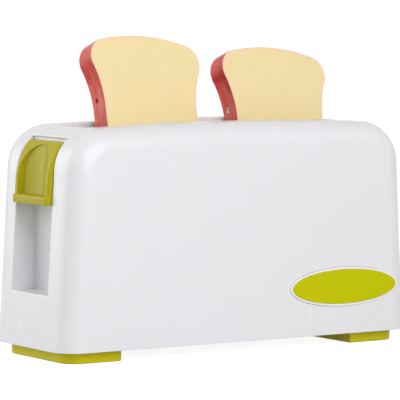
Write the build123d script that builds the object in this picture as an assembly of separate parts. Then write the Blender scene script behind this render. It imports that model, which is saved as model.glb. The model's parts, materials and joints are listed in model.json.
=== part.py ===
from build123d import *
from math import cos, radians, sin, sqrt, tan
import os

# Toy toaster with two toy toast slices, in millimetres.
# +X runs along the slot, away from the lever. The badge faces -Y. +Z is up.
# The origin is on the floor, under the middle of the casing.

# ---------------------------------------------------------------- driving dimensions
# casing
casing_length = 215.0        # along its bottom edge
casing_depth = 73.6
casing_top = 118.2           # highest point of the top, above the floor
casing_bottom = 6.05         # bottom edge, above the floor
end_lean = 3.3               # degrees that each end wall leans in
crown_radius = 1800.0        # slight rise of the top
shoulder_radius = 22.0       # rounded corner between top and end
edge_radius = 12.0           # rounding of the front and back outlines
wall = 2.5

# bread slot
slot_width = 35.0
slot_left_margin = 25.0      # from the end of the casing to the end of the slot
slot_right_margin = 23.0
slot_corner = 3.0
mouth_round = 0.8            # edges of the slot and of the recess
lip_wall = 2.0
lip_depth = 9.2

# lever recess, in the left end
recess_width = 35.0
recess_back_margin = 14.5    # from the end of the casing to the back of the recess
recess_floor = 33.3
recess_head_gap = 1.4        # above the lever at rest
recess_wall = 2.0
slit_width = 6.0             # lets the lever's neck through the back of the recess
slit_end_gap = 1.5           # above and below the neck over its travel

# lever
lever_travel = 44.0
lever_side_gap = 0.4
lever_back_gap = 0.7
lever_rest_gap = 0.7         # above the recess floor when it is right down
lever_proud = 2.2
lever_shoulder = 29.0        # its top corner is rounder than the casing's
lever_top_drop = 6.596       # from the crown over the back of the recess to the flat top of the lever
ledge_proud = 3.4
ledge_height = 4.3
scoop_width = 26.8
scoop_top_drop = 8.396       # from the same crown to the top of the scoop
scoop_floor = 6.2            # thickness of the lever behind the scoop, at the ledge
scoop_floor_radius = 34.0
scoop_floor_lean = 5.5       # degrees that the scoop's floor leans back towards its top
lever_edge_round = 1.2
lever_side_round = 2.2       # its two long edges, and the ends of its ledge
neck_y = -4.5                # the neck is beside the middle, towards the front
neck_width = 5.0
neck_height = 12.0
neck_drop = 1.0              # from the top of the crossbar to the top of the neck

# toast
toast_thickness = 12.0
toast_face = 1.0             # thickness of each cream face
toast_half_waist = 28.0
toast_half_ears = 33.2
toast_height = 73.2
toast_ear_height = 61.0      # height of the widest point
toast_crown_end = 27.9       # where the top outline meets the ear
toast_corner_height = 69.3
toast_shoulder_start = 34.0  # where the waist starts to widen
toast_shoulder = (31.8, 54.5)
toast_foot_round = 4.0
toast_web = 2.0
toast_band = 2.2
toast_edge_round = 0.4
toast_mark_radius = 0.9      # small round moulding mark in the crust
toast_mark_depth = 1.0
toast_mark_height = 38.6
toast_mark_back = 1.3        # behind the middle of the thickness
toast_back_inset = 1.2       # the rear face is let into the crust
toast_lean = 19.7            # degrees, back from upright, with the lever up
tray_droop = 4.6             # degrees, down towards the right
tray_origin_from_slot = 82.5 # where the toast's sink is measured, from the left end of the slot
toast_sink = 30.48           # depth of the toast's foot below the top of the casing, along its face
toast_rim_gap = 3.83         # between toast and rear rim at the middle of the slot
left_toast_from_slot = 50.1  # middle of each toast from its end of the slot
right_toast_from_slot = 35.7

# tray and the arm below it
hinge_drop = 6.0             # hinge below the toast's foot
seat_gap = 0.3
pocket_gap = 0.4
tray_wall = 2.0
tray_web_half = 2.4          # half thickness of the webs that carry the tray's knuckles
tray_wall_height = 7.0
tray_end_wall = 6.0
hinge_radius = 1.5
knuckle_radius = 3.2
knuckle_length = 8.0
left_knuckle_inset = 8.5     # from the end of the tray to the middle of a knuckle
right_knuckle_inset = 12.0
hinge_rod_overhang = 9.0     # past the middle of the outer knuckles
lug_length = 3.0
lug_gap = 0.4
arm_width = 8.0
arm_height = 8.0
arm_wall = 1.8
tilt_pin_radius = 1.5
tilt_pin_height = 9.5        # above the hinge
tilt_pin_gap = 0.4
tilt_pin_overhang = 2.5      # past the guide post

# guide rods, springs and carriage
rod_radius = 2.0
rod_from_slot = 3.5          # rods stand this far to the left of the slot
rod_beyond_slot = 9.0        # and this far outside its sides
sleeve_radius = 4.5
sleeve_length = 30.0
sleeve_beyond_bar = 0.5      # crossbar past its sleeves, on the side of the arm
bush_wall = 1.1
crossbar_thickness = 8.5
crossbar_height = 28.0
crossbar_web = 2.5
crossbar_rim = 2.0
crossbar_seat_half = 6.0     # solid seat of the lever's neck
arm_below_crossbar_top = 17.7
stop_ring_thickness = 3.7
stop_ring_radius = 4.2
spring_wire = 0.8
spring_radius = 3.1
spring_turns = 11
stop_post_radius = 3.0
stop_post_y = 12.0
rod_bore_cover = 7.2         # from the top of the casing to the end of a rod's bore
rod_end_gap = 0.3
socket_depth = 4.5           # rod sockets above the base plate
socket_floor = 1.0

# latch
follower_pin_radius = 1.0
follower_strip = 2.0
follower_width = 4.0
follower_swing = 8.2         # degrees
latch_lane = 21.0            # distance of the first lane from the middle of the slot
latch_plate_thickness = 3.6
latch_track_depth = 2.6
latch_lane_half = 1.7
latch_island = 2.9
latch_notch = 1.4            # depth of the notch in the island's top
latch_edge = 1.5             # border of the plate round its track
latch_tab = 8.0              # part of the plate that is screwed to the crossbar
latch_screw_inset = 6.0
latch_head_sink = 1.85
latch_track_below = 2.0      # track beyond the pin at the two ends of its travel
latch_track_above = 2.4
latch_island_from_low = 10.0
latch_island_from_high = 5.4
latch_island_point = 4.0
follower_plate_gap = 1.4
follower_bracket_gap = 0.1
follower_pin_clear = 0.4     # between the pin and the floor of the track
pivot_head_radius = 2.5
pivot_head_gap = 0.35
bracket_eye = 6.0
bracket_half_height = 4.0
bracket_plate = 2.5
bracket_length = 14.5
bracket_screw_x = 9.9        # from the bracket's left face
bracket_boss = 4.3           # height of the casing's boss for it

# base, feet and badge
base_thickness = 3.0
base_recess = 0.45           # base plate above the casing's bottom edge
base_gap = 0.25
base_rib_y = 22.0
base_rib_reach = 66.0
base_rib_half = 0.8
base_rib_height = 3.0
base_boss_height = 18.0
base_bore_depth = 14.0
foot_length = 31.0
foot_end_inset = 5.4
foot_side_inset = 5.6
foot_corner = 9.6
foot_edge_round = 0.8
foot_screw_cover = 3.0       # foot above the face of a screw's head
foot_screw_length = 9.0
foot_boss_gap = 0.9          # between a foot's screw boss and the guide post
foot_boss_height = 4.5
foot_bore_height = 3.8
badge_length = 68.7
badge_height = 20.4
badge_rim = 1.2
badge_x = 62.7
badge_z = 31.0
badge_thickness = 1.3
badge_proud = 0.6
badge_gap = 0.15
badge_field_depth = 0.5
badge_field_proud = 0.25

# guide post for the tray's pin
post_thickness = 3.0
post_half_width = 9.0
post_flange = 14.0
post_rear_extra = 3.0        # the rear half is this much wider
post_above_track = 6.0
post_flange_thickness = 3.0
post_top_round = 4.0
post_flange_round = 3.0
post_rib_half = 0.8
post_rib_inset = 4.0         # foot of the ribs, from the end of the flange
post_rib_drop = 12.0
post_rib_top = 2.0
post_front_screw = 4.0       # from the front and rear edges of the flange
post_rear_screw = 4.0

# fits and fasteners
running_gap = 0.06
fixed_gap = 0.03
screw_radius = 1.25
screw_clear = 0.35
screw_head_radius = 2.4
screw_head_height = 1.8
screw_head_gap = 0.25
screw_length = 10.0
post_screw_length = 6.5
latch_screw_length = 7.0
bracket_screw_length = 8.0
lever_screw_bite = 4.0       # lever screw past the crossbar
screw_cross_long = 1.488     # half sizes and depth of the cross in a screw's head
screw_cross_short = 0.45
screw_cross_depth = 1.1
head_seat_gap = 0.05
spring_end_gap = 0.05
past = 1.0                   # how far a cutting shape runs past what it opens
well_past = 20.0
boss_radius = 3.5
corner_boss_radius = 4.4
corner_boss_sink = 0.8       # overlap of a casing boss with the wall that carries it

# ---------------------------------------------------------------- worked out from them
half_length = casing_length / 2
half_depth = casing_depth / 2
slope = tan(radians(end_lean))
slot_left = -half_length + slot_left_margin
slot_right = half_length - slot_right_margin
slot_half = slot_width / 2
recess_back = -half_length + recess_back_margin
recess_half = recess_width / 2
lever_bottom = recess_floor + lever_travel + lever_rest_gap
recess_crown = casing_top - crown_radius + sqrt(crown_radius**2 - recess_back**2)
lever_top = recess_crown - lever_top_drop
recess_top = lever_top + recess_head_gap
base_low = casing_bottom + base_recess
base_high = base_low + base_thickness
inner_half_depth = half_depth - wall

tray_origin = slot_left + tray_origin_from_slot
left_toast = left_toast_from_slot - tray_origin_from_slot    # places along the tray, from its origin
right_toast = slot_right - right_toast_from_slot - tray_origin
toast_front = slot_half - toast_thickness / cos(radians(toast_lean)) - toast_rim_gap

# The tray's frame: X along its hinge, Z up along the leaning toast, origin on the hinge.
# The arm's frame is the same with the lean taken off.
tray_frame = (
    Pos(tray_origin, toast_front, casing_top)
    * Rotation(0, tray_droop, 0)
    * Rotation(-toast_lean, 0, 0)
    * Pos(0, toast_thickness / 2, -toast_sink - hinge_drop)
)
arm_frame = tray_frame * Rotation(toast_lean, 0, 0)
hinge_y = arm_frame.position.Y

rod_x = slot_left - rod_from_slot
rod_y = slot_half + rod_beyond_slot
crossbar_right = rod_x + sleeve_radius + sleeve_beyond_bar
crossbar_left = crossbar_right - crossbar_thickness
arm_root_z = (arm_frame * Pos(crossbar_right - tray_origin, 0, -hinge_drop)).position.Z
crossbar_high = arm_root_z + arm_below_crossbar_top
crossbar_low = crossbar_high - crossbar_height
sleeve_low = crossbar_high - sleeve_length
neck_high = crossbar_high - neck_drop
neck_low = neck_high - neck_height
neck_middle = (neck_high + neck_low) / 2
top_boss_low = crossbar_high + seat_gap + stop_ring_thickness
rod_bore_top = casing_top - rod_bore_cover
socket_high = base_high + socket_depth
rod_places = [(rod_x, -rod_y), (rod_x, rod_y)]

pivot_z = top_boss_low
follower_length = lever_travel
follower_pin_z = pivot_z - follower_length
plate_left = crossbar_right
plate_right = plate_left + latch_plate_thickness
follower_left = plate_right + follower_plate_gap
bracket_left = follower_left + follower_strip + follower_bracket_gap
bracket_screw_middle = bracket_left + bracket_screw_x
bracket_back = inner_half_depth - bracket_boss
latch_far_lane = latch_lane + follower_length * sin(radians(follower_swing))

tray_left = left_toast - toast_half_waist - pocket_gap - tray_wall
tray_right = right_toast + toast_half_waist + pocket_gap + tray_end_wall
knuckle_places = [
    tray_left + left_knuckle_inset, (tray_left + tray_right) / 2, tray_right - right_knuckle_inset
]
post_left = slot_right + lip_wall
post_right = post_left + post_thickness
post_front = hinge_y - post_half_width
post_rear = hinge_y + post_half_width + post_rear_extra

foot_middle = half_length - foot_end_inset - foot_length / 2
foot_screw_y = boss_radius + foot_boss_gap - post_front


# ---------------------------------------------------------------- shapes used by several pieces
def block(x, y, z):
    """A box from its two limits along each axis."""
    middle = [(low + high) / 2 for low, high in (x, y, z)]
    return Pos(*middle) * Box(x[1] - x[0], y[1] - y[0], z[1] - z[0])


def rod_along_x(radius, x, y, z):
    """A round bar between two X limits."""
    return Pos((x[0] + x[1]) / 2, y, z) * Rotation(0, 90, 0) * Cylinder(radius, x[1] - x[0])


def rod_along_y(radius, x, y, z):
    """A round bar between two Y limits."""
    return Pos(x, (y[0] + y[1]) / 2, z) * Rotation(90, 0, 0) * Cylinder(radius, y[1] - y[0])


def rod_along_z(radius, x, y, z):
    """A round bar between two Z limits."""
    return Pos(x, y, (z[0] + z[1]) / 2) * Cylinder(radius, z[1] - z[0])


def screw(length=screw_length):
    """A cross-head screw that points up, with the face of its head at the origin."""
    body = rod_along_z(screw_head_radius, 0, 0, (0, screw_head_height))
    body += rod_along_z(screw_radius, 0, 0, (0, length))
    for across, along in ((screw_cross_long, screw_cross_short), (screw_cross_short, screw_cross_long)):
        body -= block((-across, across), (-along, along), (-past, screw_cross_depth))
    return body


def screw_hole(length=screw_length):
    """What is cut for a screw in the piece that it clamps: clearance and a place for the head."""
    depth = (-well_past, screw_head_height + head_seat_gap)
    head = rod_along_z(screw_head_radius + screw_head_gap, 0, 0, depth)
    return head + rod_along_z(screw_radius + screw_clear, 0, 0, (0, length))


def side_outline(bottom, shoulder=shoulder_radius):
    """The casing seen from the front: leaning ends, rounded shoulders, slightly arched top."""
    above = casing_top + shoulder
    low = half_length - (bottom - casing_bottom) * slope
    high = half_length - (above - casing_bottom) * slope
    outline = Polygon((-low, bottom), (low, bottom), (high, above), (-high, above), align=None)
    outline &= Pos(0, casing_top - crown_radius) * Circle(crown_radius)
    return fillet(outline.vertices().group_by(Axis.Y)[-1], shoulder)


def casing_solid(inset, bottom):
    """The casing's outer form, or the same form a given inset inside it."""
    outline = side_outline(bottom)
    if inset:
        outline = offset(outline, -inset)
    solid = extrude(Plane.XZ * outline, half_depth - inset, both=True)
    rims = ShapeList()
    for face in (solid.faces().sort_by(Axis.Y)[0], solid.faces().sort_by(Axis.Y)[-1]):
        rims += face.edges().sort_by(Axis.Z)[1:]
    return fillet(rims, edge_radius - inset)


def base_screw_places():
    """Middles of the casing's screw bosses: one in each corner and one on each long side."""
    corner = edge_radius - wall
    from_wall = corner_boss_radius - corner_boss_sink
    reach = (corner - from_wall) * cos(radians(45))
    inner_end = half_length - (base_high - casing_bottom) * slope - wall
    x = inner_end - corner + reach
    y = inner_half_depth - corner + reach
    places = [(sx * x, sy * y) for sx in (-1, 1) for sy in (-1, 1)]
    return places + [(0, sy * (inner_half_depth - from_wall)) for sy in (-1, 1)]


def foot_screw_places():
    return [(sx * foot_middle, sy * foot_screw_y) for sx in (-1, 1) for sy in (-1, 1)]


def post_screw_places():
    x = post_right + post_flange / 2
    return [(x, post_front + post_front_screw), (x, post_rear - post_rear_screw)]


def latch_screw_places():
    """Two screws hold the latch plate to the crossbar."""
    y = latch_lane - latch_lane_half - (latch_tab + latch_edge) / 2
    return [(y, crossbar_low + latch_screw_inset), (y, crossbar_high - latch_screw_inset)]


def badge_oval(grow, depth_from, depth_to):
    """An oval prism standing on the front of the casing."""
    oval = Ellipse(badge_length / 2 + grow, badge_height / 2 + grow)
    return Pos(badge_x, -depth_from, badge_z) * extrude(Plane.XZ * oval, depth_to - depth_from)


def on_mouth(edge):
    """True for the outer edges of the slot and of the lever recess."""
    middle = edge.center()
    near = 0.1
    near_top = middle.Z > casing_top - lip_depth + past
    along_slot = slot_left - near < middle.X < slot_right + near
    in_slot = near_top and along_slot and abs(middle.Y) < slot_half + near
    forward = middle.X < recess_back - 2 * past
    recess_side = forward and abs(abs(middle.Y) - recess_half) < near and middle.Z > recess_floor + past
    across = forward and abs(middle.Y) < recess_half - past
    recess_ends = across and min(abs(middle.Z - recess_floor), abs(middle.Z - recess_top)) < near
    return in_slot or recess_side or recess_ends


# ---------------------------------------------------------------- pieces
def make_casing():
    outer = casing_solid(0, casing_bottom)
    cavity = casing_solid(wall, casing_bottom - well_past)

    pocket = block(
        (-half_length - well_past, recess_back + recess_wall),
        (-recess_half - recess_wall, recess_half + recess_wall),
        (recess_floor - recess_wall, casing_top + well_past),
    )
    slot = block(
        (slot_left, slot_right), (-slot_half, slot_half), (casing_top - 2 * well_past, casing_top + well_past)
    )
    slot = fillet(slot.edges().filter_by(Axis.Z), slot_corner)
    lip = block(
        (slot_left - lip_wall, slot_right + lip_wall),
        (-slot_half - lip_wall, slot_half + lip_wall),
        (casing_top - lip_depth, casing_top + well_past),
    )
    lip = fillet(lip.edges().filter_by(Axis.Z), slot_corner + lip_wall)

    inside = lip
    for x, y in rod_places:
        inside += rod_along_z(sleeve_radius, x, y, (top_boss_low, casing_top + well_past))
    for x, y in base_screw_places():
        inside += rod_along_z(corner_boss_radius, x, y, (base_high, base_high + base_boss_height))
    inside += rod_along_y(boss_radius, bracket_screw_middle, (bracket_back, half_depth), pivot_z)

    body = (outer - (cavity - pocket)) + (inside & outer)
    body -= slot
    body -= block(
        (-half_length - well_past, recess_back),
        (-recess_half, recess_half),
        (recess_floor, recess_top),
    )
    mouth = body.edges().filter_by(on_mouth)
    body = fillet(mouth, mouth_round)
    body -= block(
        (recess_back - past, recess_back + recess_wall + past),
        (neck_y - slit_width / 2, neck_y + slit_width / 2),
        (neck_low - lever_travel - slit_end_gap, neck_high + slit_end_gap),
    )
    for x, y in rod_places:
        body -= rod_along_z(rod_radius + fixed_gap, x, y, (top_boss_low - past, rod_bore_top))
    for x, y in base_screw_places():
        body -= rod_along_z(screw_radius + fixed_gap, x, y, (base_high - past, base_high + base_bore_depth))
    bore = (bracket_back - past, half_depth - wall / 2)
    body -= rod_along_y(screw_radius + fixed_gap, bracket_screw_middle, bore, pivot_z)
    body -= badge_oval(badge_gap, half_depth - badge_thickness + badge_proud, half_depth + well_past)
    return body


def make_base_plate():
    half_x = half_length - (base_high - casing_bottom) * slope - wall - base_gap
    half_y = inner_half_depth - base_gap
    sheet = RectangleRounded(2 * half_x, 2 * half_y, edge_radius - wall - base_gap)
    plate = Pos(0, 0, base_low) * extrude(sheet, base_thickness)
    for x, y in rod_places:
        plate += rod_along_z(sleeve_radius, x, y, (base_low, socket_high))
        plate -= rod_along_z(rod_radius + fixed_gap, x, y, (base_low + socket_floor, socket_high + past))
    for side in (-1, 1):
        plate += rod_along_z(
            stop_post_radius,
            (crossbar_left + crossbar_right) / 2,
            side * stop_post_y,
            (base_low, crossbar_low - lever_travel - seat_gap),
        )
    for x, y in base_screw_places():
        plate -= Pos(x, y, base_low) * screw_hole()
    for x, y in foot_screw_places():
        plate += rod_along_z(boss_radius, x, y, (base_low, base_high + foot_boss_height))
        plate -= rod_along_z(screw_radius + fixed_gap, x, y, (base_low - past, base_high + foot_bore_height))
    for x, y in post_screw_places():
        plate -= Pos(x, y, base_low) * screw_hole()
    # stiffening ribs on the inside, clear of everything that comes down
    for y in (-base_rib_y, base_rib_y):
        plate += block(
            (-base_rib_reach, base_rib_reach),
            (y - base_rib_half, y + base_rib_half),
            (base_high, base_high + base_rib_height),
        )
    return plate


def make_foot(side):
    width = casing_depth - 2 * foot_side_inset
    outer = side * (half_length - foot_end_inset)
    inner = side * (half_length - foot_end_inset - foot_length)
    foot = block((min(inner, outer), max(inner, outer)), (-width / 2, width / 2), (0, base_low))
    outside = foot.edges().filter_by(Axis.Z).group_by(Axis.X)[0 if side < 0 else -1]
    foot = fillet(outside, foot_corner)
    foot = fillet(foot.faces().sort_by(Axis.Z)[0].edges(), foot_edge_round)
    for x, y in foot_screw_places():
        if x * side > 0:
            foot -= Pos(x, y, base_low - foot_screw_cover) * screw_hole()
    return foot


def make_badge():
    back = half_depth - badge_thickness + badge_proud
    front = half_depth + badge_proud
    plate = badge_oval(0, back, front)
    plate -= badge_oval(-badge_rim, front - badge_field_depth, front + well_past)
    field = badge_oval(-badge_rim - fixed_gap, front - badge_field_depth, front + badge_field_proud)
    return plate, field


def make_lever():
    back = recess_back - lever_back_gap
    half = recess_half - lever_side_gap
    profile = offset(side_outline(casing_bottom, lever_shoulder), lever_proud)
    reach = half_length + well_past
    profile &= Pos(-reach, lever_bottom) * Rectangle(reach + back, lever_top - lever_bottom, align=Align.MIN)
    knob = extrude(Plane.XZ * profile, half, both=True)
    sides = ShapeList()
    for face in (knob.faces().sort_by(Axis.Y)[0], knob.faces().sort_by(Axis.Y)[-1]):
        sides += face.edges().sort_by(Axis.X)[:1]
        sides += face.edges().filter_by(GeomType.CIRCLE)
    knob = fillet(sides, lever_side_round)

    # finger scoop: an arch-topped hollow with a round floor
    ledge_top = lever_bottom + ledge_height
    scoop_top = recess_crown - scoop_top_drop
    arch_foot = scoop_top - scoop_width / 2
    half_scoop = scoop_width / 2
    arch = Pos(0, arch_foot) * Circle(half_scoop)
    arch += Pos(0, arch_foot - half_scoop) * Rectangle(scoop_width, scoop_width)
    arch -= Pos(0, ledge_top - half_scoop) * Rectangle(2 * scoop_width, scoop_width)
    hollow = extrude(Plane.YZ * arch, -reach)
    round_floor = Cylinder(scoop_floor_radius, 4 * scoop_width)
    place = Pos(back - scoop_floor, 0, ledge_top) * Rotation(0, scoop_floor_lean, 0)
    knob -= hollow & (place * Pos(-scoop_floor_radius, 0, 0) * round_floor)

    # ledge that a finger presses down
    lip_x = half_length - (ledge_top - casing_bottom) * slope + ledge_proud
    ledge = block((-lip_x, back), (-half, half), (lever_bottom, ledge_top))
    ledge = fillet(ledge.faces().sort_by(Axis.X)[0].edges().filter_by(Axis.Z), lever_side_round)
    for face in (ledge.faces().sort_by(Axis.Z)[0], ledge.faces().sort_by(Axis.Z)[-1]):
        front = face.edges().filter_by_position(Axis.X, -lip_x - 1, -lip_x + lever_side_round + 0.01)
        ledge = fillet(front, lever_edge_round)
    knob += ledge

    neck_side = (neck_y - neck_width / 2, neck_y + neck_width / 2)
    neck = block((back - past, crossbar_left), neck_side, (neck_low, neck_high))
    neck -= rod_along_x(screw_radius + fixed_gap, (back - past, crossbar_left + past), neck_y, neck_middle)
    return knob + neck


def make_carriage():
    bar = block(
        (crossbar_left, crossbar_right), (-rod_y, rod_y), (crossbar_low, crossbar_high)
    )
    # the back of the bar is hollowed on each side of the lever's seat, as a moulding is
    for side in (-1, 1):
        hollow = sorted((neck_y + side * crossbar_seat_half, side * (rod_y - sleeve_radius - 1)))
        bar -= block(
            (crossbar_left - past, crossbar_right - crossbar_web),
            hollow,
            (crossbar_low + crossbar_rim, crossbar_high - crossbar_rim),
        )
    for x, y in rod_places:
        bar += rod_along_z(sleeve_radius, x, y, (sleeve_low, crossbar_high))
        bore = (sleeve_low - past, crossbar_high + past)
        bar -= rod_along_z(rod_radius + running_gap + bush_wall, x, y, bore)

    low = -hinge_drop - arm_height
    half = arm_width / 2
    arm_left = (crossbar_right - arm_frame.position.X) / cos(radians(tray_droop)) - past
    arm_end = knuckle_places[-1] + knuckle_length / 2 + lug_gap + lug_length
    arm = block((arm_left, arm_end), (-half, half), (low, -hinge_drop))
    arm -= block(
        (arm_left + 6, arm_end - arm_wall),
        (-half + arm_wall, half - arm_wall),
        (low - past, -hinge_drop - arm_wall),
    )
    for middle in knuckle_places:
        for side in (-1, 1):
            near = middle + side * (knuckle_length / 2 + lug_gap)
            span = sorted((near, near + side * lug_length))
            arm += rod_along_x(knuckle_radius, span, 0, 0)
            arm += block(span, (-knuckle_radius, knuckle_radius), (-hinge_drop, 0))
            arm -= rod_along_x(hinge_radius + fixed_gap, (span[0] - 0.1, span[1] + 0.1), 0, 0)
    carriage = bar + arm_frame * arm

    lever_hole = Pos(crossbar_right, neck_y, neck_middle) * Rotation(0, -90, 0) * screw_hole()
    carriage -= lever_hole
    for y, z in latch_screw_places():
        bore = (crossbar_right - latch_screw_length + 1, crossbar_right + past)
        carriage -= rod_along_x(screw_radius + fixed_gap, bore, y, z)
    return carriage


def make_bushes():
    outside = rod_radius + running_gap + bush_wall - fixed_gap
    bushes = []
    for x, y in rod_places:
        bush = rod_along_z(outside, x, y, (sleeve_low, crossbar_high))
        bore = rod_along_z(rod_radius + running_gap, x, y, (sleeve_low - past, crossbar_high + past))
        bushes.append(bush - bore)
    return bushes


def make_spring(place):
    """A round-wire return spring between the base plate's socket and the carriage's sleeve."""
    x, y = place
    wire = spring_wire / 2
    low = socket_high + wire + spring_end_gap
    high = sleeve_low - wire - spring_end_gap
    path = Helix(pitch=(high - low) / spring_turns, height=high - low, radius=spring_radius)
    section = Plane(origin=path @ 0, z_dir=path % 0) * Circle(wire)
    return Pos(x, y, low) * sweep(section, path=path, is_frenet=True)


def make_tray():
    inner = toast_thickness / 2 + pocket_gap
    floor_top = hinge_drop - seat_gap
    floor_low = floor_top - tray_wall
    wall_top = hinge_drop + tray_wall_height
    tray = block((tray_left, tray_right), (-inner - tray_wall, inner + tray_wall), (floor_low, wall_top))
    for middle in (left_toast, right_toast):
        half = toast_half_waist + pocket_gap
        tray -= block((middle - half, middle + half), (-inner, inner), (floor_top, wall_top + past))
    between = (
        left_toast + toast_half_waist + pocket_gap + tray_wall,
        right_toast - toast_half_waist - pocket_gap - tray_wall,
    )
    tray -= block(between, (-inner, inner), (floor_top, wall_top + past))
    for middle in knuckle_places:
        span = (middle - knuckle_length / 2, middle + knuckle_length / 2)
        tray += rod_along_x(knuckle_radius, span, 0, 0)
        tray += block(span, (-tray_web_half, tray_web_half), (0, floor_low))
        tray -= rod_along_x(hinge_radius + running_gap, (span[0] - past, span[1] + past), 0, 0)
    bore = (tray_right - tray_end_wall + past, tray_right + past)
    tray -= rod_along_x(tilt_pin_radius + fixed_gap, bore, 0, tilt_pin_height)
    return tray_frame * tray


def make_hinge_rod():
    span = (knuckle_places[0] - hinge_rod_overhang, knuckle_places[-1] + hinge_rod_overhang)
    return arm_frame * rod_along_x(hinge_radius, span, 0, 0)


def make_tilt_pin():
    start = tray_right - tray_end_wall + past
    end = (post_right + tilt_pin_overhang - arm_frame.position.X) / cos(radians(tray_droop))
    return tray_frame * rod_along_x(tilt_pin_radius, (start, end), 0, tilt_pin_height)


def tilt_pin_path(steps=6):
    """Where the tray's pin crosses the guide post as the carriage goes down and the tray comes upright."""
    middle = ((post_left + post_right) / 2 - arm_frame.position.X) / cos(radians(tray_droop))
    points = []
    for step in range(steps + 1):
        share = step / steps
        frame = Pos(0, 0, -lever_travel * share) * arm_frame * Rotation(-toast_lean * (1 - share), 0, 0)
        spot = (frame * Pos(middle, 0, tilt_pin_height)).position
        points.append((spot.Y, spot.Z))
    return points


def make_guide_post():
    path = tilt_pin_path()
    high = path[0][1] + post_above_track
    upright = block((post_left, post_right), (post_front, post_rear), (base_high, high))
    upright = fillet(upright.edges().filter_by(Axis.X).group_by(Axis.Z)[-1], post_top_round)
    flange = block(
        (post_left, post_right + post_flange),
        (post_front, post_rear),
        (base_high, base_high + post_flange_thickness),
    )
    flange = fillet(flange.edges().filter_by(Axis.Z).group_by(Axis.X)[-1], post_flange_round)
    post = upright + flange
    rib_end = post_right + post_flange - post_rib_inset
    rib_high = high - post_rib_drop
    rib = Polygon(
        (post_right - past, base_high + past), (rib_end, base_high + past),
        (post_right + post_rib_top, rib_high), (post_right - past, rib_high), align=None)
    for y in (post_front + post_rib_half, post_rear - post_rib_half):
        post += Pos(0, y, 0) * extrude(Plane.XZ * rib, post_rib_half, both=True)
    width = tilt_pin_radius + tilt_pin_gap
    for start, end in zip(path, path[1:]):
        ends = Pos(*start) * Circle(width) + Pos(*end) * Circle(width)
        track = make_hull(ends.edges())
        post -= Pos(post_left - past, 0, 0) * extrude(Plane.YZ * track, post_thickness + 2 * past)
    for x, y in post_screw_places():
        bore = (base_high - past, base_high + post_flange_thickness + past)
        post -= rod_along_z(screw_radius + fixed_gap, x, y, bore)
    return post


def toast_outline():
    """Half width against height, mirrored: straight waist, hollow shoulder, round ear, low crown."""
    waist, ears = toast_half_waist, toast_half_ears
    shoulder_x, shoulder_z = toast_shoulder
    rise = shoulder_z - toast_shoulder_start
    run = shoulder_x - waist
    hollow = (run ** 2 + rise ** 2) / (2 * run)
    half_rise = rise / 2
    half_run = hollow - (hollow ** 2 - half_rise ** 2) ** 0.5

    def side(mirror):
        start = (mirror * waist, toast_shoulder_start)
        shoulder = (mirror * shoulder_x, shoulder_z)
        corner = (mirror * toast_crown_end, toast_corner_height)
        return [
            Line((mirror * waist, 0), start),
            ThreePointArc(start, (mirror * (waist + half_run), toast_shoulder_start + half_rise), shoulder),
            ThreePointArc(shoulder, (mirror * ears, toast_ear_height), corner),
        ]

    left, right = side(-1), side(1)
    crown = ThreePointArc(left[-1] @ 1, (0, toast_height), right[-1] @ 1)
    foot = Line((-waist, 0), (waist, 0))
    outline = make_face(Curve() + left + [crown] + right + [foot])
    return fillet(outline.vertices().group_by(Axis.Y)[0], toast_foot_round)


def make_toast(middle):
    """Crust with a web inside, a cream front face that covers it, and a rear face let into it."""
    outline = toast_outline()
    half = toast_thickness / 2
    core = half - toast_face
    crust = Pos(0, half, 0) * extrude(Plane.XZ * outline, half + core)
    crust = fillet(crust.faces().sort_by(Axis.Y)[-1].edges(), toast_edge_round)
    pocket = extrude(Plane.XZ * offset(outline, -toast_band), core - toast_web / 2)
    crust -= Pos(0, -toast_web / 2, 0) * pocket
    crust -= Pos(0, core, 0) * pocket
    mark = (-toast_half_ears, toast_mark_depth - toast_half_waist)
    crust -= rod_along_x(toast_mark_radius, mark, toast_mark_back, toast_mark_height)
    front = extrude(Plane.XZ * outline, toast_face)
    front = Pos(0, -core, 0) * fillet(front.faces().sort_by(Axis.Y)[0].edges(), toast_edge_round)
    back = Pos(0, half, 0) * extrude(Plane.XZ * offset(outline, -toast_back_inset), toast_face)
    crust -= back
    place = tray_frame * Pos(middle, 0, hinge_drop)
    return place * crust, place * front, place * back


def make_latch_plate():
    track_low = follower_pin_z - latch_track_below
    track_high = follower_pin_z + lever_travel + latch_track_above
    near = latch_lane - latch_lane_half
    far = latch_far_lane + latch_lane_half
    plate = block(
        (plate_left, plate_right),
        (near - latch_edge, far + latch_edge),
        (track_low - latch_edge, track_high + latch_edge),
    )
    plate += block((plate_left, plate_right), (near - latch_tab, near), (crossbar_low + 1, crossbar_high - 1))
    floor = plate_right - latch_track_depth
    plate -= block((floor, plate_right + past), (near, far), (track_low, track_high))

    # the island that the follower goes round, with a notch in its top where it catches
    middle = (latch_lane + latch_far_lane) / 2
    half = latch_island / 2
    island_low = track_low + latch_island_from_low
    island_high = track_high - latch_island_from_high
    island = Polygon(
        (middle, island_low - latch_island_point), (middle + half, island_low), (middle + half, island_high),
        (middle, island_high - latch_notch), (middle - half, island_high), (middle - half, island_low),
        align=None)
    plate += Pos(floor, 0, 0) * extrude(Plane.YZ * island, latch_track_depth)
    for y, z in latch_screw_places():
        plate -= rod_along_x(screw_radius + screw_clear, (plate_left - past, plate_right + past), y, z)
        head = (plate_right - latch_head_sink, plate_right + past)
        plate -= rod_along_x(screw_head_radius + screw_head_gap, head, y, z)
    return plate


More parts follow.
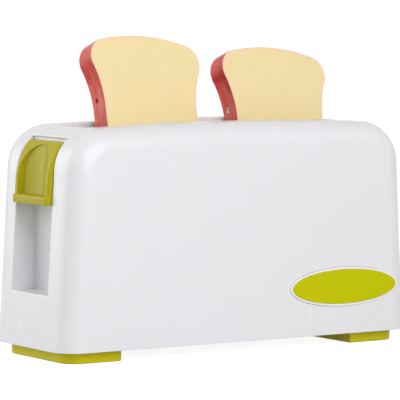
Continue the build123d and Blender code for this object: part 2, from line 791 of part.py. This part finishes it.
def make_follower():
    strip = (follower_left, follower_left + follower_strip)
    half = follower_width / 2
    body = block(strip, (latch_lane - half, latch_lane + half), (follower_pin_z, pivot_z))
    body += rod_along_x(half, strip, latch_lane, follower_pin_z)
    body += rod_along_x(half + 1, strip, latch_lane, pivot_z)
    pin = (plate_right - latch_track_depth + follower_pin_clear, strip[1] - past)
    body += rod_along_x(follower_pin_radius, pin, latch_lane, follower_pin_z)
    bore = (strip[0] - past, strip[1] + past)
    return body - rod_along_x(hinge_radius + running_gap, bore, latch_lane, pivot_z)


def make_latch_pivot():
    head = (plate_right + pivot_head_gap, follower_left - follower_bracket_gap)
    pin = rod_along_x(pivot_head_radius, head, latch_lane, pivot_z)
    return pin + rod_along_x(hinge_radius, (head[0], bracket_left + bracket_eye - 0.5), latch_lane, pivot_z)


def make_latch_bracket():
    """A foot on the casing's rear boss, and an eye for the follower's pivot."""
    low, high = pivot_z - bracket_half_height, pivot_z + bracket_half_height
    eye = (bracket_left, bracket_left + bracket_eye)
    plate = (bracket_left, bracket_left + bracket_length)
    bracket = block(eye, (latch_lane - bracket_half_height, bracket_back), (low, high))
    bracket += block(plate, (bracket_back - bracket_plate, bracket_back), (low, high))
    bracket -= rod_along_x(hinge_radius + fixed_gap, (eye[0] - past, eye[1]), latch_lane, pivot_z)
    bore = (bracket_back - bracket_plate - past, bracket_back + past)
    return bracket - rod_along_y(screw_radius + screw_clear, bracket_screw_middle, bore, pivot_z)


def make_stop_rings():
    rings = []
    for x, y in rod_places:
        ring = rod_along_z(stop_ring_radius, x, y, (top_boss_low - stop_ring_thickness, top_boss_low))
        bore = rod_along_z(rod_radius + fixed_gap, x, y, (crossbar_high - past, top_boss_low + past))
        rings.append(ring - bore)
    return rings


def make_screws():
    point_left = Rotation(0, -90, 0)
    to_rear = Rotation(-90, 0, 0)
    seat = screw_head_height
    bracket_face = bracket_back - bracket_plate
    latch_face = plate_right - latch_head_sink + seat
    return {
        "base_screws": [Pos(x, y, base_low) * screw() for x, y in base_screw_places()],
        "foot_screws": [
            Pos(x, y, base_low - foot_screw_cover) * screw(foot_screw_length)
            for x, y in foot_screw_places()
        ],
        "post_screws": [Pos(x, y, base_low) * screw(post_screw_length) for x, y in post_screw_places()],
        "lever_screw": [
            Pos(crossbar_right, neck_y, neck_middle)
            * point_left
            * screw(crossbar_thickness + lever_screw_bite)
        ],
        "latch_screws": [
            Pos(latch_face, y, z) * point_left * screw(latch_screw_length) for y, z in latch_screw_places()
        ],
        "bracket_screw": [
            Pos(bracket_screw_middle, bracket_face - seat, pivot_z) * to_rear * screw(bracket_screw_length)
        ],
    }


# ---------------------------------------------------------------- build and write
badge_plate, badge_field = make_badge()
pieces = {
    "casing": make_casing(),
    "base_plate": make_base_plate(),
    "foot_left": make_foot(-1),
    "foot_right": make_foot(1),
    "badge_plate": badge_plate,
    "badge_field": badge_field,
    "lever": make_lever(),
    "carriage": make_carriage(),
    "slide_bushes": make_bushes(),
    "toast_tray": make_tray(),
    "hinge_rod": make_hinge_rod(),
    "tilt_pin": make_tilt_pin(),
    "guide_post": make_guide_post(),
    "latch_plate": make_latch_plate(),
    "latch_follower": make_follower(),
    "latch_pivot": make_latch_pivot(),
    "latch_bracket": make_latch_bracket(),
    "stop_rings": make_stop_rings(),
}
for name, place in zip(("front", "rear"), rod_places):
    span = (base_low + socket_floor, rod_bore_top - rod_end_gap)
    pieces["guide_rod_" + name] = rod_along_z(rod_radius, *place, span)
    pieces["return_spring_" + name] = make_spring(place)
for name, middle in (("left", left_toast), ("right", right_toast)):
    crust, front, back = make_toast(middle)
    pieces["toast_" + name + "_crust"] = crust
    pieces["toast_" + name + "_front_face"] = front
    pieces["toast_" + name + "_back_face"] = back
pieces.update(make_screws())

os.makedirs("parts", exist_ok=True)
for name, piece in pieces.items():
    shape = Compound(children=piece) if isinstance(piece, list) else piece
    export_step(shape, "parts/" + name + ".step")
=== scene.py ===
import json
import math

import bpy
from mathutils import Euler, Matrix, Vector


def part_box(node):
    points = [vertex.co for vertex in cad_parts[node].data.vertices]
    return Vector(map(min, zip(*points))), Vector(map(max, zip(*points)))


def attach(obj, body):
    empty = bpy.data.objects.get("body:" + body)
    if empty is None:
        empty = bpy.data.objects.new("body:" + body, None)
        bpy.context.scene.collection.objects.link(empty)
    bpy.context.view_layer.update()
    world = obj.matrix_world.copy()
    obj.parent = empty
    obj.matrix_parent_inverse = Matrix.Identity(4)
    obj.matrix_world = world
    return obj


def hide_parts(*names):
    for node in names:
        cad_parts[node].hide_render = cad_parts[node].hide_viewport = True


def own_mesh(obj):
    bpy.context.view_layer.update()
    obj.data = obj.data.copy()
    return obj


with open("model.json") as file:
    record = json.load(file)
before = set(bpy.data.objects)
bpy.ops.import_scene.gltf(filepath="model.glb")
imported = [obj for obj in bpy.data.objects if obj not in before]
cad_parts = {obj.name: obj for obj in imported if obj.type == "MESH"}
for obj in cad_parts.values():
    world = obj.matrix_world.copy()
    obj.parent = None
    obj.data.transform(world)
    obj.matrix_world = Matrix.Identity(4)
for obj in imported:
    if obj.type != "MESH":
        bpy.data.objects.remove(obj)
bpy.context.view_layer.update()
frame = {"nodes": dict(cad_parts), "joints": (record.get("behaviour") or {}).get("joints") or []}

nodes = frame["nodes"]
joints = {joint["name"]: joint for joint in frame["joints"]}
scene = bpy.context.scene

# ---------------------------------------------------------------- camera
# A long lens a metre and a half away, a little above the toaster and to the left of its badge,
# level except for a third of a degree of roll.
camera_place = (-0.8344, -1.24296, 0.18659)
camera_azimuth = math.radians(-33.763)
camera_elevation = math.radians(4.224)
camera_roll = math.radians(0.308)
camera_lens = 260.07
camera_sensor = 36.0

turn = Euler((math.pi / 2 - camera_elevation, 0, camera_azimuth)).to_matrix()
turn = turn @ Matrix.Rotation(camera_roll, 3, "Z")
camera_data = bpy.data.cameras.new("camera")
camera_data.sensor_width = camera_sensor
camera_data.lens = camera_lens
camera_data.clip_start = 0.05
camera_data.clip_end = 30.0
camera = bpy.data.objects.new("camera", camera_data)
camera.matrix_world = Matrix.Translation(camera_place) @ turn.to_4x4()
scene.collection.objects.link(camera)
scene.camera = camera

# ---------------------------------------------------------------- base plate, guide post and bracket
# Plain light grey mouldings that nobody sees in use, with the dull even grain of an unpolished mould.
# Screws through the plate hold it to the casing, and the post stands on it and steers the tray.
inner_grey = (0.62, 0.63, 0.64)
edge_samples = 6
edge_cosines = (0.86, 0.99)        # of the angle between a face and its rounding: full edge, and no edge
scuff_width = 0.0007
scuff_stretch = (1, 0.03, 0.06)
scuff_patch = 0.03
scuff_streak_noise = (0.6, 0.75)
scuff_patch_noise = (0.5, 0.7)
scuff_roughening = 0.3             # share of a piece's own roughness
wave_size = 0.02
wave_depth = 0.00001
patch_size = 0.05
patch_gloss = (0.93, 1.07)
rubbed_paleness = 0.4              # how far a rubbed edge goes towards white


def shader_of(name):
    """A new material, its node tree and its shader."""
    material = bpy.data.materials.new(name)
    material.use_nodes = True
    return material, material.node_tree, material.node_tree.nodes["Principled BSDF"]


def noise(tree, size, detail, stretch=(1, 1, 1), place=None):
    """Noise whose lumps are about size metres across, fixed to the piece."""
    scale = tree.nodes.new("ShaderNodeMapping")
    scale.inputs["Scale"].default_value = stretch
    texture = tree.nodes.new("ShaderNodeTexNoise")
    texture.inputs["Scale"].default_value = 1 / size
    texture.inputs["Detail"].default_value = detail
    if place is None:
        place = tree.nodes.new("ShaderNodeTexCoord").outputs["Object"]
    tree.links.new(place, scale.inputs["Vector"])
    tree.links.new(scale.outputs["Vector"], texture.inputs["Vector"])
    return texture.outputs["Fac"]


def spread(tree, value, low, high, start=0.22, end=0.78, soft=False):
    """value from start to end, laid out from low to high. Noise stays mostly between 0.22 and 0.78."""
    node = tree.nodes.new("ShaderNodeMapRange")
    if soft:
        node.interpolation_type = "SMOOTHSTEP"
    for name, number in (("From Min", start), ("From Max", end), ("To Min", low), ("To Max", high)):
        node.inputs[name].default_value = number
    tree.links.new(value, node.inputs["Value"])
    return node.outputs["Result"]


def worked(tree, operation, first, second):
    """first and second put through a sum. Each is a number or a socket."""
    node = tree.nodes.new("ShaderNodeMath")
    node.operation = operation
    for socket, value in zip(node.inputs, (first, second)):
        if isinstance(value, (int, float)):
            socket.default_value = value
        else:
            tree.links.new(value, socket)
    return node.outputs[0]


def mixed(tree, share, first, second):
    """The colour between first and second. Each is a colour or a socket."""
    node = tree.nodes.new("ShaderNodeMix")
    node.data_type = "RGBA"
    tree.links.new(share, node.inputs["Factor"])
    for socket, colour in ((node.inputs[6], first), (node.inputs[7], second)):
        if isinstance(colour, tuple):
            socket.default_value = (*colour, 1)
        else:
            tree.links.new(colour, socket)
    return node.outputs[2]


def bumped(tree, shader, layers, soft_edge):
    """Rounds the shader's edges by soft_edge metres, and adds bumps: (height socket, depth in metres)."""
    edge = tree.nodes.new("ShaderNodeBevel")
    edge.samples = edge_samples
    edge.inputs["Radius"].default_value = soft_edge
    normal = edge.outputs["Normal"]
    for height, depth in layers:
        bump = tree.nodes.new("ShaderNodeBump")
        bump.inputs["Distance"].default_value = depth
        tree.links.new(height, bump.inputs["Height"])
        tree.links.new(normal, bump.inputs["Normal"])
        normal = bump.outputs["Normal"]
    tree.links.new(normal, shader.inputs["Normal"])
    return edge.outputs["Normal"]


def edge_share(tree, soft_normal):
    """1 on the rounded edges of a piece and 0 on its faces."""
    face = tree.nodes.new("ShaderNodeNewGeometry")
    cosine = tree.nodes.new("ShaderNodeVectorMath")
    cosine.operation = "DOT_PRODUCT"
    tree.links.new(face.outputs["Normal"], cosine.inputs[0])
    tree.links.new(soft_normal, cosine.inputs[1])
    return spread(tree, cosine.outputs["Value"], 1, 0, *edge_cosines)


def scuffs(tree, roughening):
    """Roughness added by faint rubbed streaks a few centimetres long, in patches."""
    streaks = noise(tree, scuff_width, detail=1, stretch=scuff_stretch)
    patches = noise(tree, scuff_patch, detail=2)
    streak = spread(tree, streaks, 0, 1, *scuff_streak_noise)
    return worked(tree, "MULTIPLY", streak, spread(tree, patches, 0, roughening, *scuff_patch_noise))


def moulded(name, colour, roughness, shine=0.5, grain=0.0006, grain_depth=0.000004, tint=0.03,
            soft_edge=0.0003, worn=0.0):
    """Moulded plastic: fine grain, slow waves, a little uneven in colour and gloss, rubbed on its edges."""
    material, tree, shader = shader_of(name)
    shader.inputs["Specular IOR Level"].default_value = shine
    slow = noise(tree, wave_size, detail=1)
    patch = noise(tree, patch_size, detail=2)
    fine = noise(tree, grain, detail=2)
    soft = bumped(tree, shader, [(slow, wave_depth), (fine, grain_depth)], soft_edge)
    darker = tuple(c * (1 - tint) for c in colour)
    lighter = tuple(min(1, c * (1 + tint)) for c in colour)
    shade = mixed(tree, spread(tree, patch, 0, 1), darker, lighter)
    rubbed = worked(tree, "MULTIPLY", edge_share(tree, soft), worn)
    pale = tuple(c + (1 - c) * rubbed_paleness for c in colour)
    tree.links.new(mixed(tree, rubbed, shade, pale), shader.inputs["Base Color"])
    gloss = spread(tree, patch, roughness * patch_gloss[0], roughness * patch_gloss[1])
    rough = worked(tree, "ADD", gloss, scuffs(tree, scuff_roughening * roughness))
    tree.links.new(rough, shader.inputs["Roughness"])
    return material


def finish(material, *names):
    """Gives CAD nodes their material."""
    for name in names:
        mesh = nodes[name].data
        mesh.materials.clear()
        mesh.materials.append(material)


grey = moulded("inner_grey", inner_grey, roughness=0.5, grain=0.0004, grain_depth=0.00001, tint=0.02)
finish(grey, "base_plate", "guide_post", "latch_bracket")

# ---------------------------------------------------------------- casing
# One white moulding in polished plastic, open underneath, with the faint waviness that thick plastic
# takes as it cools. The slot, the lever's recess and the bosses are all part of it.
casing_white = (0.845, 0.842, 0.872)
finish(moulded("casing_white", casing_white, roughness=0.25, tint=0.006, soft_edge=0.0004), "casing")

# ---------------------------------------------------------------- feet
# Two lime-green bars screwed to the underside, satin, and a little paler along all their rounded edges.
foot_green = (0.69, 0.62, 0.006)
satin_green = moulded("foot_green", foot_green, roughness=0.4, shine=0.16, tint=0.04, soft_edge=0.0009,
                      worn=0.25)
finish(satin_green, "foot_left", "foot_right")

# ---------------------------------------------------------------- badge
# A white oval plate let into the front, with a lime-green field laid in it. Both are bare.
badge_white = (0.93, 0.93, 0.94)
finish(moulded("badge_white", badge_white, roughness=0.25, tint=0.004), "badge_plate")
badge_green = (0.59, 0.59, 0.0015)
finish(moulded("badge_green", badge_green, roughness=0.3, shine=0.06, tint=0.02), "badge_field")

# ---------------------------------------------------------------- guide rods, pins and latch follower
# Bright drawn steel. The rods stand in sockets of the base plate and in bores of the casing.
bright_steel = (0.62, 0.63, 0.65)
bright_roughness = 0.25
draw_line = 0.0004
draw_line_depth = 0.000004
draw_blotch = 0.006
blotch_shade = 0.8
draw_gloss = (0.7, 1.3)
steel_edge = 0.0001
lines_up = (1, 1, 0.03)
lines_along = (0.03, 1, 1)
no_lines = (1, 1, 1)


def drawn_steel(name, colour, roughness, stretch):
    """Drawn steel, with fine lines along the bar."""
    material, tree, shader = shader_of(name)
    shader.inputs["Metallic"].default_value = 1.0
    lines = noise(tree, draw_line, detail=3, stretch=stretch)
    blotch = noise(tree, draw_blotch, detail=3)
    bumped(tree, shader, [(lines, draw_line_depth)], steel_edge)
    darker = tuple(c * blotch_shade for c in colour)
    tree.links.new(mixed(tree, spread(tree, blotch, 0, 1), colour, darker), shader.inputs["Base Color"])
    gloss = spread(tree, lines, roughness * draw_gloss[0], roughness * draw_gloss[1])
    tree.links.new(gloss, shader.inputs["Roughness"])
    return material


rod_steel = drawn_steel("rod_steel", bright_steel, bright_roughness, lines_up)
finish(rod_steel, "guide_rod_front", "guide_rod_rear", "latch_follower")
pin_steel = drawn_steel("pin_steel", bright_steel, bright_roughness, lines_along)
finish(pin_steel, "hinge_rod", "tilt_pin", "latch_pivot")

# ---------------------------------------------------------------- return springs
# A coil of oiled spring wire round each guide rod, between the base plate's socket and the carriage's
# sleeve, with its end turns closed. The toy's spring shortens as the lever goes down; this coil keeps the
# length it is built with.
oiled_steel = (0.36, 0.37, 0.39)
spring_steel = drawn_steel("spring_steel", oiled_steel, roughness=0.32, stretch=no_lines)
wire_radius = 0.0004
coil_radius = 0.0031
coil_turns = 11
closed_turns = 1
closed_pitch = 2.1 * wire_radius
steps_a_turn = 28
wire_sides = 10


def coil_spring(name, node):
    """A round-wire coil in the place of a CAD spring."""
    low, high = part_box(node)
    middle = (low + high) / 2
    foot = low.z + wire_radius
    top = high.z - wire_radius
    open_turns = coil_turns - 2 * closed_turns
    closed_rise = closed_turns * closed_pitch
    rise = (top - foot - 2 * closed_rise) / open_turns
    points = []
    for step in range(coil_turns * steps_a_turn + 1):
        turns = step / steps_a_turn
        if turns < closed_turns:
            z = foot + closed_rise * turns / closed_turns
        elif turns > coil_turns - closed_turns:
            z = top - closed_rise * (coil_turns - turns) / closed_turns
        else:
            z = foot + closed_rise + rise * (turns - closed_turns)
        angle = 2 * math.pi * turns
        points.append(Vector((middle.x + coil_radius * math.cos(angle),
                              middle.y + coil_radius * math.sin(angle), z)))
    corners, sides = [], []
    for step, point in enumerate(points):
        ahead = points[min(step + 1, len(points) - 1)] - points[max(step - 1, 0)]
        outward = Vector((point.x - middle.x, point.y - middle.y, 0)).normalized()
        upward = ahead.normalized().cross(outward)
        for side in range(wire_sides):
            angle = 2 * math.pi * side / wire_sides
            corners.append(point + wire_radius * (math.cos(angle) * outward + math.sin(angle) * upward))
    for step in range(len(points) - 1):
        for side in range(wire_sides):
            after = (side + 1) % wire_sides
            ring = step * wire_sides
            next_ring = ring + wire_sides
            sides.append((ring + side, next_ring + side, next_ring + after, ring + after))
    last = len(points) - 1
    sides.append(tuple(range(wire_sides)))
    sides.append(tuple(reversed(range(last * wire_sides, (last + 1) * wire_sides))))
    mesh = bpy.data.meshes.new(name)
    mesh.from_pydata([tuple(c) for c in corners], [], sides)
    mesh.update()
    for face in mesh.polygons:
        face.use_smooth = len(face.vertices) == 4
    mesh.materials.append(spring_steel)
    spring = bpy.data.objects.new(name, mesh)
    scene.collection.objects.link(spring)
    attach(spring, "casing")
    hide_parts(node)
    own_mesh(spring)


for end in ("front", "rear"):
    coil_spring("coil_" + end, "return_spring_" + end)

# ---------------------------------------------------------------- screws
# Zinc-plated cross-head screws for plastic, dull blue-grey.
zinc = (0.56, 0.58, 0.6)
finish(drawn_steel("screw_steel", zinc, roughness=0.35, stretch=no_lines),
       "base_screws", "foot_screws", "post_screws", "lever_screw", "latch_screws", "bracket_screw")

# ---------------------------------------------------------------- carriage, bushes, latch plate, stop rings
# The carriage is a grey moulding that slides on two bushes of black self-lubricating plastic. The cam
# plate of the latch is the same black plastic. Rings of soft black rubber stop the carriage at its top.
finish(grey, "carriage")
bush_black = (0.02, 0.02, 0.022)
finish(moulded("bush_black", bush_black, roughness=0.35, tint=0.2), "slide_bushes", "latch_plate")
rubber_black = (0.03, 0.03, 0.03)
finish(moulded("stop_rubber", rubber_black, roughness=0.8, grain=0.0003, grain_depth=0.00002, tint=0.3),
       "stop_rings")

# ---------------------------------------------------------------- lever
# Lime-green moulding screwed to the carriage by its neck, with an arch-topped scoop for a fingertip and
# a ledge below it to press on. Its edges are rubbed by fingers.
lever_green = (0.485, 0.425, 0.002)
finish(moulded("lever_green", lever_green, roughness=0.24, shine=0.13, soft_edge=0.0009, worn=0.1), "lever")

# ---------------------------------------------------------------- toast tray
# White moulding with a pocket for each slice, hung on the hinge rod.
tray_white = (0.75, 0.75, 0.75)
finish(moulded("tray_white", tray_white, roughness=0.45, tint=0.01), "toast_tray")

# ---------------------------------------------------------------- toast
# Each slice is a hollow red-brown moulding with a cream face in front and behind. The crust is painted
# round the rims of the faces too. The paint is streaky, and its edge against the front face runs a little
# unevenly. Painted shade darkens the hollow below the ears and the whole right slice, and a painted
# highlight pales the ears.
hinge = Vector(joints["tray_tilt"]["pos_m"])
along = Vector(joints["tray_tilt"]["axis"]).normalized()
upwards = Vector(joints["toast_left_lift"]["axis"]).normalized()
across = upwards.cross(along)
slice_turn = Matrix((along, across, upwards)).transposed().to_euler()
slice_foot = 0.006                 # above the hinge
slice_front = -0.006
slice_middles = {"left": -0.0324, "right": 0.0488}
crust_red = (0.69, 0.105, 0.078)
# the crust's paler red, used for its streaks and also as a painted highlight on the ears
crust_pale_and_highlight = (0.80, 0.185, 0.145)
# the crust's deeper red, used for its darker patches and also as painted shade
crust_deep_and_shade = (0.52, 0.016, 0.011)
paint_streak = 0.0016
paint_streak_noise = (0.34, 0.66)
paint_streak_depth = 0.00001
paint_patch = 0.005
paint_patch_noise = (0.38, 0.62)
paint_patch_depth = 0.00003
patch_paint = 0.35                 # deeper in the patches than all over
# painted shade: the right slice is darkened all over
all_over_shade = {"left": 0.0, "right": 0.2}
hollow_height = slice_foot + 0.0555
hollow_reach = 0.009
# painted shade darkening the hollow below the ears, for each slice
hollow_shade = {"left": 0.35, "right": 0.8}
ear_height = slice_foot + 0.065
ear_reach = 0.006
# painted highlight: how far the ears are paled
ear_highlight_share = 0.3
ragged_height = 0.003              # up and down, where the hollow's and the ears' paint ends
seam_dark = (0.26, 0.012, 0.010)
seam_wander = 0.0004
seam_wander_size = 0.0025
seam_width = (0.0004, 0.0012)      # from the front face: full strength, and none
seam_strength = 0.7


def slice_place(tree):
    """The place along the tray, across the slice and up it, from the hinge: as a vector, and in parts."""
    place = tree.nodes.new("ShaderNodeTexCoord")
    local = tree.nodes.new("ShaderNodeMapping")
    local.vector_type = "TEXTURE"
    local.inputs["Location"].default_value = hinge
    local.inputs["Rotation"].default_value = slice_turn
    tree.links.new(place.outputs["Object"], local.inputs["Vector"])
    parts = tree.nodes.new("ShaderNodeSeparateXYZ")
    tree.links.new(local.outputs["Vector"], parts.inputs[0])
    return local.outputs["Vector"], parts.outputs


def near(tree, value, middle, reach):
    """1 at middle, falling smoothly to 0 at reach from it."""
    away = worked(tree, "ABSOLUTE", worked(tree, "SUBTRACT", value, middle), 0)
    return spread(tree, away, 1, 0, 0, reach, soft=True)


def toast_paint(tree, side, local, place):
    """The streaky red-brown paint of one slice, with painted shade in its hollow and a painted highlight on
    its ears, and the sockets of its patches and streaks.
    """
    _, y, z = place
    streaks = noise(tree, paint_streak, detail=3, stretch=(1, 1, 0.1), place=local)
    patches = noise(tree, paint_patch, detail=3, stretch=(1, 1, 0.5), place=local)
    shade = mixed(tree, spread(tree, streaks, 0, 1, *paint_streak_noise), crust_red, crust_pale_and_highlight)
    # painted shade all over the slice, more in the patches
    thin = all_over_shade[side]
    deep = spread(tree, patches, thin, thin + patch_paint, *paint_patch_noise)
    shade = mixed(tree, deep, shade, crust_deep_and_shade)
    ragged = worked(tree, "ADD", z, spread(tree, patches, -ragged_height, ragged_height))
    # painted shade in the hollow below the ears
    hollow = worked(tree, "MULTIPLY", near(tree, ragged, hollow_height, hollow_reach), hollow_shade[side])
    shade = mixed(tree, hollow, shade, crust_deep_and_shade)
    # painted highlight on the ears
    ear = worked(tree, "MULTIPLY", near(tree, ragged, ear_height, ear_reach), ear_highlight_share)
    shade = mixed(tree, ear, shade, crust_pale_and_highlight)
    wander = noise(tree, seam_wander_size, detail=4, place=local)
    seam = worked(tree, "ADD", y, spread(tree, wander, -seam_wander, seam_wander))
    seam_ends = (slice_front + seam_width[0], slice_front + seam_width[1])
    seam_line = spread(tree, seam, seam_strength, 0, *seam_ends)
    return mixed(tree, seam_line, shade, seam_dark), patches, streaks


mark_height = slice_foot + 0.0386
mark_back = 0.0013
mark_radius = 0.0009
mark_width = 0.7                   # share of the mark's height
mark_edge = 0.0003
# painted shade round the moulding mark's hole: how far it reaches and its colour, for each slice
mark_shade_reach = {"left": 0.0005, "right": 0.0013}
mark_shade_colour = {"left": (0.5, 0.03, 0.025), "right": (0.3, 0.03, 0.015)}
bare_edge = (0.0001, 0.0004)
side_change = 0.001
crust_shine = 0.12
crust_gloss = (0.26, 0.42)
crust_grain = 0.0004
crust_grain_depth = 0.000006
crust_edge = 0.0004
# bare cream, brightened as a painted highlight, for the faces' rounded rims and the right slice's mark
lit_bare_cream = (1.0, 0.68, 0.46)


def crust_of(side):
    """The red-brown rim of one slice. The moulding mark on its left side is ringed with painted shade; on
    the right slice its middle is bare cream, brightened as a painted highlight.
    """
    material, tree, shader = shader_of("toast_crust_" + side)
    shader.inputs["Specular IOR Level"].default_value = crust_shine
    local, place = slice_place(tree)
    x, y, z = place
    shade, patches, streaks = toast_paint(tree, side, local, place)
    fine = noise(tree, crust_grain, detail=2)
    layers = [(patches, paint_patch_depth), (streaks, paint_streak_depth), (fine, crust_grain_depth)]
    bumped(tree, shader, layers, crust_edge)
    off_y = worked(tree, "SUBTRACT", y, mark_back)
    off_z = worked(tree, "MULTIPLY", worked(tree, "SUBTRACT", z, mark_height), mark_width)
    square_y = worked(tree, "MULTIPLY", off_y, off_y)
    square_z = worked(tree, "MULTIPLY", off_z, off_z)
    off = worked(tree, "SQRT", worked(tree, "ADD", square_y, square_z), 0)
    middle = slice_middles[side]
    left_side = spread(tree, x, 1, 0, middle - side_change, middle, soft=True)
    # painted shade in and round the mark's hole
    ring = spread(tree, off, 1, 0, mark_radius + mark_edge, mark_radius + mark_shade_reach[side], soft=True)
    shade = mixed(tree, worked(tree, "MULTIPLY", ring, left_side), shade, mark_shade_colour[side])
    if side == "right":
        # bare cream middle of the right slice's mark, brightened as a painted highlight
        bare = spread(tree, off, 1, 0, mark_radius + bare_edge[0], mark_radius + bare_edge[1], soft=True)
        shade = mixed(tree, worked(tree, "MULTIPLY", bare, left_side), shade, lit_bare_cream)
    tree.links.new(shade, shader.inputs["Base Color"])
    tree.links.new(spread(tree, patches, *crust_gloss), shader.inputs["Roughness"])
    return material


crumb_cream = (0.93, 0.76, 0.405)
crumb_dark = 0.985
crumb_light = 1.01
crumb_shine = 0.25
crumb_gloss = (0.42, 0.5)
crumb_edge = 0.0003
pore_size = 0.0009
pore_depth = 0.000012
mottle_size = 0.012
mottle_depth = 0.00004
# the rim line below is a painted highlight along the face's rounded edge
rim_width = 0.0026
rim_samples = 8
rim_flatness = (0.93, 0.999)       # full rim line, and none
paint_flatness = (0.3, 0.42)       # full paint, and none
paint_raggedness = 0.18


def flatness(tree, normal):
    """1 where a normal points across the slice and 0 where it points along or up it, for a slice at rest.
    On a slice that the tray has turned, the painted rim highlight spreads over the face."""
    facing = tree.nodes.new("ShaderNodeVectorMath")
    facing.operation = "DOT_PRODUCT"
    tree.links.new(normal, facing.inputs[0])
    facing.inputs[1].default_value = across
    return worked(tree, "ABSOLUTE", facing.outputs["Value"], 0)


def face_of(side):
    """A cream face of one slice, painted red round its rim, with a thin bare cream line where it rounds
    over, brightened as a painted highlight.
    """
    material, tree, shader = shader_of("toast_face_" + side)
    shader.inputs["Specular IOR Level"].default_value = crumb_shine
    local, place = slice_place(tree)
    paint, patches, _ = toast_paint(tree, side, local, place)
    pores = noise(tree, pore_size, detail=3)
    mottle = noise(tree, mottle_size, detail=3)
    bumped(tree, shader, [(mottle, mottle_depth), (pores, pore_depth)], crumb_edge)
    darker = tuple(c * crumb_dark for c in crumb_cream)
    lighter = tuple(min(1, c * crumb_light) for c in crumb_cream)
    shade = mixed(tree, spread(tree, mottle, 0, 1), darker, lighter)
    face = tree.nodes.new("ShaderNodeNewGeometry")
    rounded = tree.nodes.new("ShaderNodeBevel")
    rounded.samples = rim_samples
    rounded.inputs["Radius"].default_value = rim_width
    face_flat = flatness(tree, face.outputs["True Normal"])
    rounded_flat = flatness(tree, rounded.outputs["Normal"])
    # painted highlight on the rounded rim of the face
    shade = mixed(tree, spread(tree, rounded_flat, 1, 0, *rim_flatness), shade, lit_bare_cream)
    ragged = worked(tree, "ADD", face_flat, spread(tree, patches, -paint_raggedness, paint_raggedness))
    shade = mixed(tree, spread(tree, ragged, 1, 0, *paint_flatness), shade, paint)
    tree.links.new(shade, shader.inputs["Base Color"])
    tree.links.new(spread(tree, mottle, *crumb_gloss), shader.inputs["Roughness"])
    return material


for side in ("left", "right"):
    finish(crust_of(side), "toast_" + side + "_crust")
    finish(face_of(side), "toast_" + side + "_front_face", "toast_" + side + "_back_face")

# ---------------------------------------------------------------- floor and light
# A white studio: a plain white floor, soft light from all round, and large soft lamps above, behind
# the lever's end and in front.
floor_half = 6.0
floor_corners = [(-floor_half, -floor_half, 0), (floor_half, -floor_half, 0), (floor_half, floor_half, 0),
                 (-floor_half, floor_half, 0)]
floor_mesh = bpy.data.meshes.new("floor")
floor_mesh.from_pydata(floor_corners, [], [(0, 1, 2, 3)])
floor = bpy.data.objects.new("floor", floor_mesh)
scene.collection.objects.link(floor)


def seen_directly(tree):
    """1 for what the camera, a reflection or clear plastic shows, 0 for light on the way to a surface."""
    path = tree.nodes.new("ShaderNodeLightPath")
    seen = worked(tree, "MAXIMUM", path.outputs["Is Camera Ray"], path.outputs["Is Glossy Ray"])
    return worked(tree, "MAXIMUM", seen, path.outputs["Is Transmission Ray"])


white = (1, 1, 1, 1)
floor_grey = (0.6, 0.6, 0.6, 1)
floor_glow = 0.88                  # brings the grey up to white for the camera
material, tree, shader = shader_of("floor_white")
shader.inputs["Base Color"].default_value = floor_grey
shader.inputs["Roughness"].default_value = 0.9
shader.inputs["Specular IOR Level"].default_value = 0.0
shader.inputs["Emission Color"].default_value = white
tree.links.new(worked(tree, "MULTIPLY", seen_directly(tree), floor_glow), shader.inputs["Emission Strength"])
floor_mesh.materials.append(material)

world = bpy.data.worlds.new("studio")
scene.world = world
world.use_nodes = True
tree = world.node_tree
back = tree.nodes["Background"]
back.inputs["Color"].default_value = white
soft_light = 0.2
tree.links.new(spread(tree, seen_directly(tree), soft_light, 1, 0, 1), back.inputs["Strength"])


def soft_lamp(name, place, aim, size, power):
    """A square soft lamp, turned from its place towards aim."""
    data = bpy.data.lights.new(name, "AREA")
    data.size = size
    data.energy = power
    lamp = bpy.data.objects.new(name, data)
    direction = Vector(aim) - Vector(place)
    lamp.matrix_world = Matrix.Translation(place) @ direction.to_track_quat("-Z", "Y").to_matrix().to_4x4()
    lamp.visible_camera = False
    scene.collection.objects.link(lamp)


soft_lamp("top_lamp", place=(0.0, -0.1, 1.4), aim=(0, 0, 0.06), size=1.2, power=0.8)
soft_lamp("left_lamp", place=(-1.12, 0.88, 0.42), aim=(-0.1, 0, 0.07), size=1.3, power=14.6)
soft_lamp("front_lamp", place=(-0.12, -1.0, 0.62), aim=(-0.02, 0, 0.08), size=1.1, power=11)
scene.view_settings.view_transform = "Standard"
